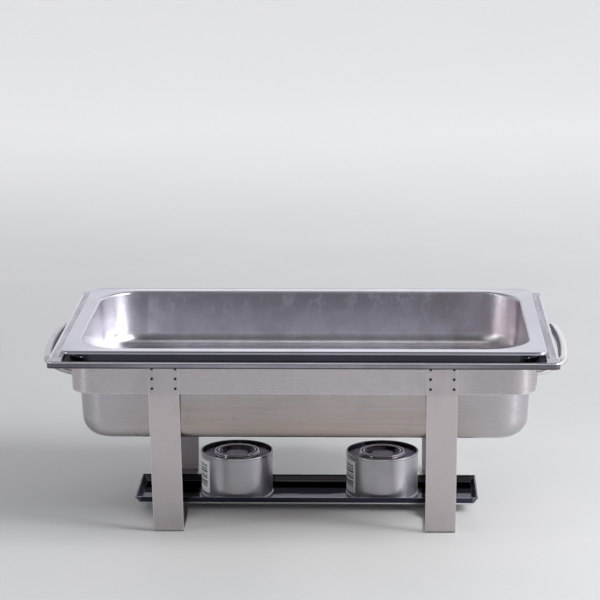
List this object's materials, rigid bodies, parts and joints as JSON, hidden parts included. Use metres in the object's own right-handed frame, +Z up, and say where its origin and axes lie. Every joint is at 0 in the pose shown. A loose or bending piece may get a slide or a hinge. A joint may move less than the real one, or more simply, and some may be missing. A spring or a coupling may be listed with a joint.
{
  "type": "chafing dish food warmer",
  "caption": "Rectangular stainless chafing dish: food pan nested in a water pan on a banded strap-leg stand with bow handles, over a shelf with gel fuel cans.",
  "frame": {"origin": "on the table, under the middle of the stand", "axes": "+X along the long side, -Y the front, +Z up"},
  "size_m": [0.595, 0.356, 0.2175],
  "materials": {
    "stand_steel": "mill finish stainless strip, lightly scuffed",
    "handle_steel": "satin polished stainless",
    "weld_oxide": "dark heat-tinted weld spots",
    "water_pan_steel": "bright stainless, water marked",
    "food_pan_steel": "satin stainless, faintly stained inside",
    "shelf_steel": "mirror polished stainless",
    "can_tinplate": "plain tinplate, satin",
    "can_end_tinplate": "tinplate, darkened by heat",
    "can_lid_tinplate": "tinplate",
    "gel_fuel": "translucent gel",
    "paper_label": "blank white paper label"
  },
  "bodies": {
    "stand": {"band_front": "stand_steel", "band_rear": "stand_steel", "leg_left": "stand_steel", "leg_right": "stand_steel", "leg_spot_welds": "weld_oxide", "handle_left": "handle_steel", "handle_right": "handle_steel", "handle_end_plates": "stand_steel", "handle_spot_welds": "weld_oxide"},
    "water_pan": {"water_pan": "water_pan_steel"},
    "food_pan": {"food_pan": "food_pan_steel"},
    "fuel_shelf": {"fuel_shelf": "shelf_steel"},
    "fuel_can_left": {"can_wall_left": "can_tinplate", "can_bottom_left": "can_tinplate", "can_top_left": "can_end_tinplate", "can_fuel_left": "gel_fuel", "can_label_left": "paper_label"},
    "can_lid_left": {"can_lid_left": "can_lid_tinplate"},
    "fuel_can_right": {"can_wall_right": "can_tinplate", "can_bottom_right": "can_tinplate", "can_top_right": "can_end_tinplate", "can_fuel_right": "gel_fuel", "can_label_right": "paper_label"},
    "can_lid_right": {"can_lid_right": "can_lid_tinplate"}
  },
  "joints": [
    {"name": "water_pan_lift", "type": "slide", "parent": "stand", "child": "water_pan", "axis": [0, 0, 1], "range_m": [0, 0.12]},
    {"name": "food_pan_lift", "type": "slide", "parent": "water_pan", "child": "food_pan", "axis": [0, 0, 1], "range_m": [0, 0.09]},
    {"name": "fuel_shelf_slide", "type": "slide", "parent": "stand", "child": "fuel_shelf", "axis": [1, 0, 0], "range_m": [-0.12, 0.12]},
    {"name": "fuel_can_left_lift", "type": "slide", "parent": "fuel_shelf", "child": "fuel_can_left", "axis": [0, 0, 1], "range_m": [0, 0.04]},
    {"name": "can_lid_left_lift", "type": "slide", "parent": "fuel_can_left", "child": "can_lid_left", "axis": [0, 0, 1], "range_m": [0, 0.008]},
    {"name": "fuel_can_right_lift", "type": "slide", "parent": "fuel_shelf", "child": "fuel_can_right", "axis": [0, 0, 1], "range_m": [0, 0.04]},
    {"name": "can_lid_right_lift", "type": "slide", "parent": "fuel_can_right", "child": "can_lid_right", "axis": [0, 0, 1], "range_m": [0, 0.008]}
  ]
}
